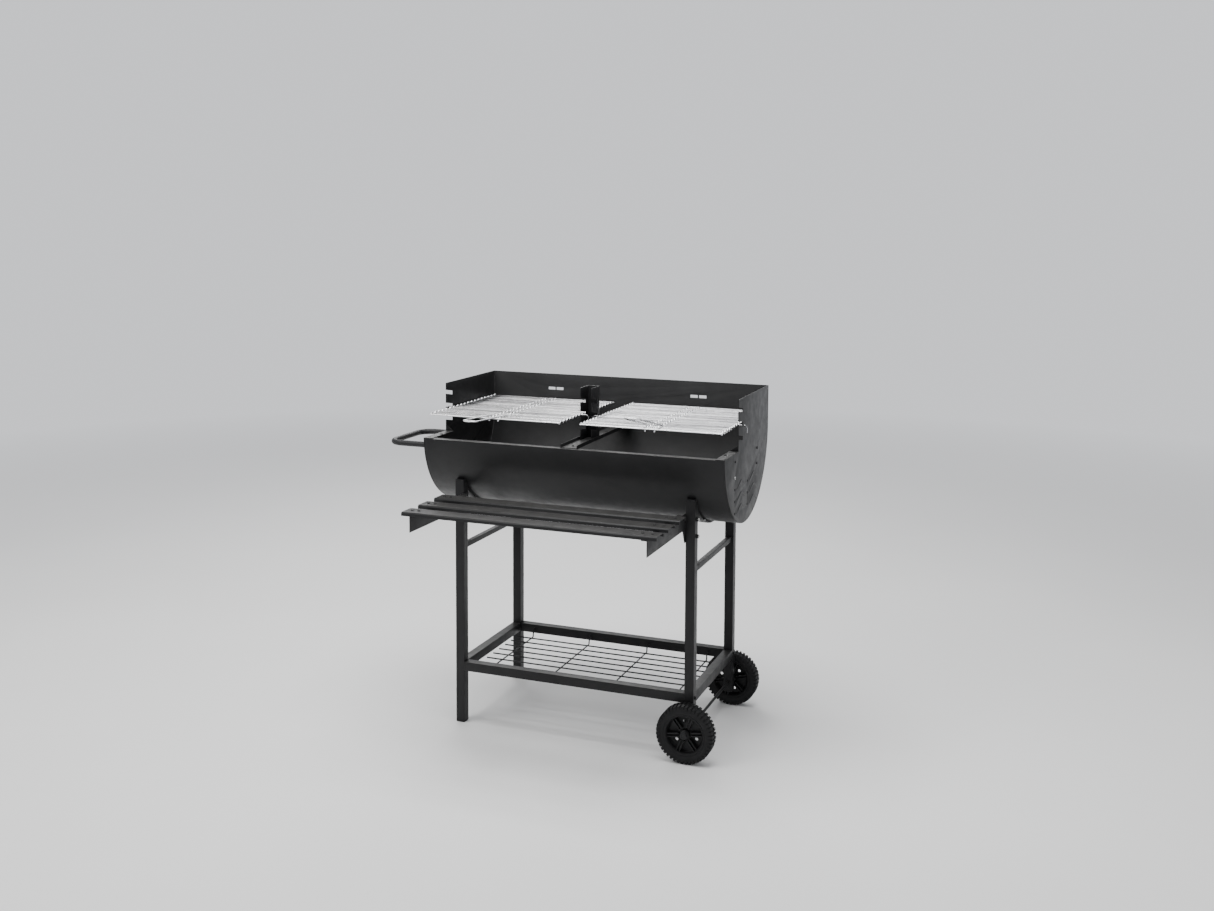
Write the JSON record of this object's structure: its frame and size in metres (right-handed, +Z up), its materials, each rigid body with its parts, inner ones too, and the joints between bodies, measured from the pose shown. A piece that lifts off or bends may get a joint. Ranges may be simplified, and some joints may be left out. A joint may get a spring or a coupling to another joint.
{
  "type": "charcoal trolley grill",
  "caption": "Half-barrel charcoal grill on a four-legged trolley with wind guard, hooked cooking grates, slatted front shelf and side handle.",
  "frame": {"origin": "on the floor under the middle of the grill's bounding box", "axes": "+X along the barrel towards the wheels, +Y from the shelf side to the wind guard, +Z up"},
  "size_m": [1.0054, 0.741, 0.943],
  "materials": {
    "powder_coat": "satin black powder coat",
    "chrome": "bright chrome plate",
    "zinc": "dull zinc plate",
    "wheel_plastic": "matt black moulded plastic",
    "plastic": "black plastic"
  },
  "bodies": {
    "trolley": {"leg_front_left": "powder_coat", "leg_cap_front_left": "plastic", "leg_foot_front_left": "plastic", "leg_back_left": "powder_coat", "leg_cap_back_left": "plastic", "leg_foot_back_left": "plastic", "leg_front_right": "powder_coat", "leg_cap_front_right": "plastic", "leg_foot_front_right": "plastic", "leg_back_right": "powder_coat", "leg_cap_back_right": "plastic", "leg_foot_back_right": "plastic", "lower_rail_front": "powder_coat", "lower_rail_back": "powder_coat", "lower_rail_left": "powder_coat", "upper_rail_left": "powder_coat", "lower_rail_right": "powder_coat", "upper_rail_right": "powder_coat", "saddle_left": "powder_coat", "saddle_right": "powder_coat", "bottom_rack": "powder_coat", "axle": "powder_coat", "hub_cap_front": "plastic", "axle_washer_front": "zinc", "hub_cap_back": "plastic", "axle_washer_back": "zinc", "shelf_bracket_left": "powder_coat", "shelf_bolt_left_1": "zinc", "shelf_bolt_left_2": "zinc", "shelf_bracket_right": "powder_coat", "shelf_bolt_right_1": "zinc", "shelf_bolt_right_2": "zinc", "shelf_slat_1": "powder_coat", "shelf_slat_2": "powder_coat", "shelf_slat_3": "powder_coat", "firebox_shell": "powder_coat", "end_plate_left": "powder_coat", "end_plate_right": "powder_coat", "centre_channel": "powder_coat", "notch_post": "powder_coat", "side_handle": "powder_coat", "charcoal_grate_left": "powder_coat", "charcoal_grate_right": "powder_coat"},
    "wheel_front": {"wheel_front": "wheel_plastic"},
    "wheel_back": {"wheel_back": "wheel_plastic"},
    "grate_left": {"cooking_grate_left": "chrome"},
    "grate_right": {"cooking_grate_right": "chrome"},
    "handle_left": {"grate_handle_left": "chrome"},
    "handle_right": {"grate_handle_right": "chrome"}
  },
  "joints": [
    {"name": "wheel_front_spin", "type": "hinge", "parent": "trolley", "child": "wheel_front", "pos_m": [0.39093, -0.0945, 0.077], "axis": [0, 1, 0], "continuous": true},
    {"name": "wheel_back_spin", "type": "hinge", "parent": "trolley", "child": "wheel_back", "pos_m": [0.39093, 0.3455, 0.077], "axis": [0, 1, 0], "continuous": true},
    {"name": "grate_left_slide", "type": "slide", "parent": "trolley", "child": "grate_left", "axis": [0, -0.9842, 0.1771], "range_m": [0, 0.045]},
    {"name": "grate_right_slide", "type": "slide", "parent": "trolley", "child": "grate_right", "axis": [0, -0.9842, 0.1771], "range_m": [0, 0.045]},
    {"name": "handle_left_fold", "type": "hinge", "parent": "grate_left", "child": "handle_left", "pos_m": [-0.16557, -0.0435, 0.86315], "axis": [-1, 0, 0], "range_deg": [-3, 129]},
    {"name": "handle_right_fold", "type": "hinge", "parent": "grate_right", "child": "handle_right", "pos_m": [0.28143, -0.0435, 0.86315], "axis": [-1, 0, 0], "range_deg": [-13.7, 118.3]}
  ]
}
